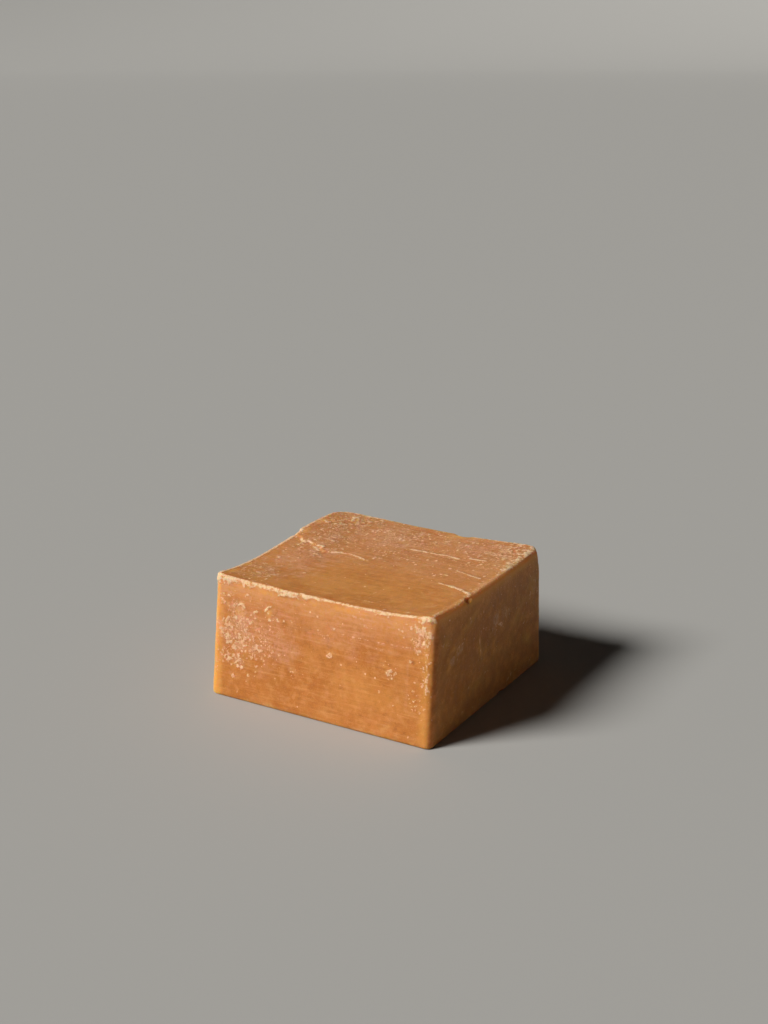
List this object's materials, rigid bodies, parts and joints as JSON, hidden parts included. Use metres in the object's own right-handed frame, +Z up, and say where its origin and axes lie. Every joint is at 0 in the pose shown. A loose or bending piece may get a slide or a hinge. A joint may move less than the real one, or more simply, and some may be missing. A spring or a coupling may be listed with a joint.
{
  "type": "bar of soap",
  "caption": "Thick, nearly square cut bar of amber soap with leaning sides, a dished worn top, softened edges and small chips.",
  "frame": {"origin": "centre of the flat underside", "axes": "+Z up from the underside, +X along the front cut face from its rounder left edge to its right edge, +Y from the front face to the back"},
  "size_m": [0.0886, 0.0871, 0.0457],
  "materials": {
    "soap": "satin"
  },
  "bodies": {
    "root": {"soap_bar": "soap"}
  },
  "joints": []
}
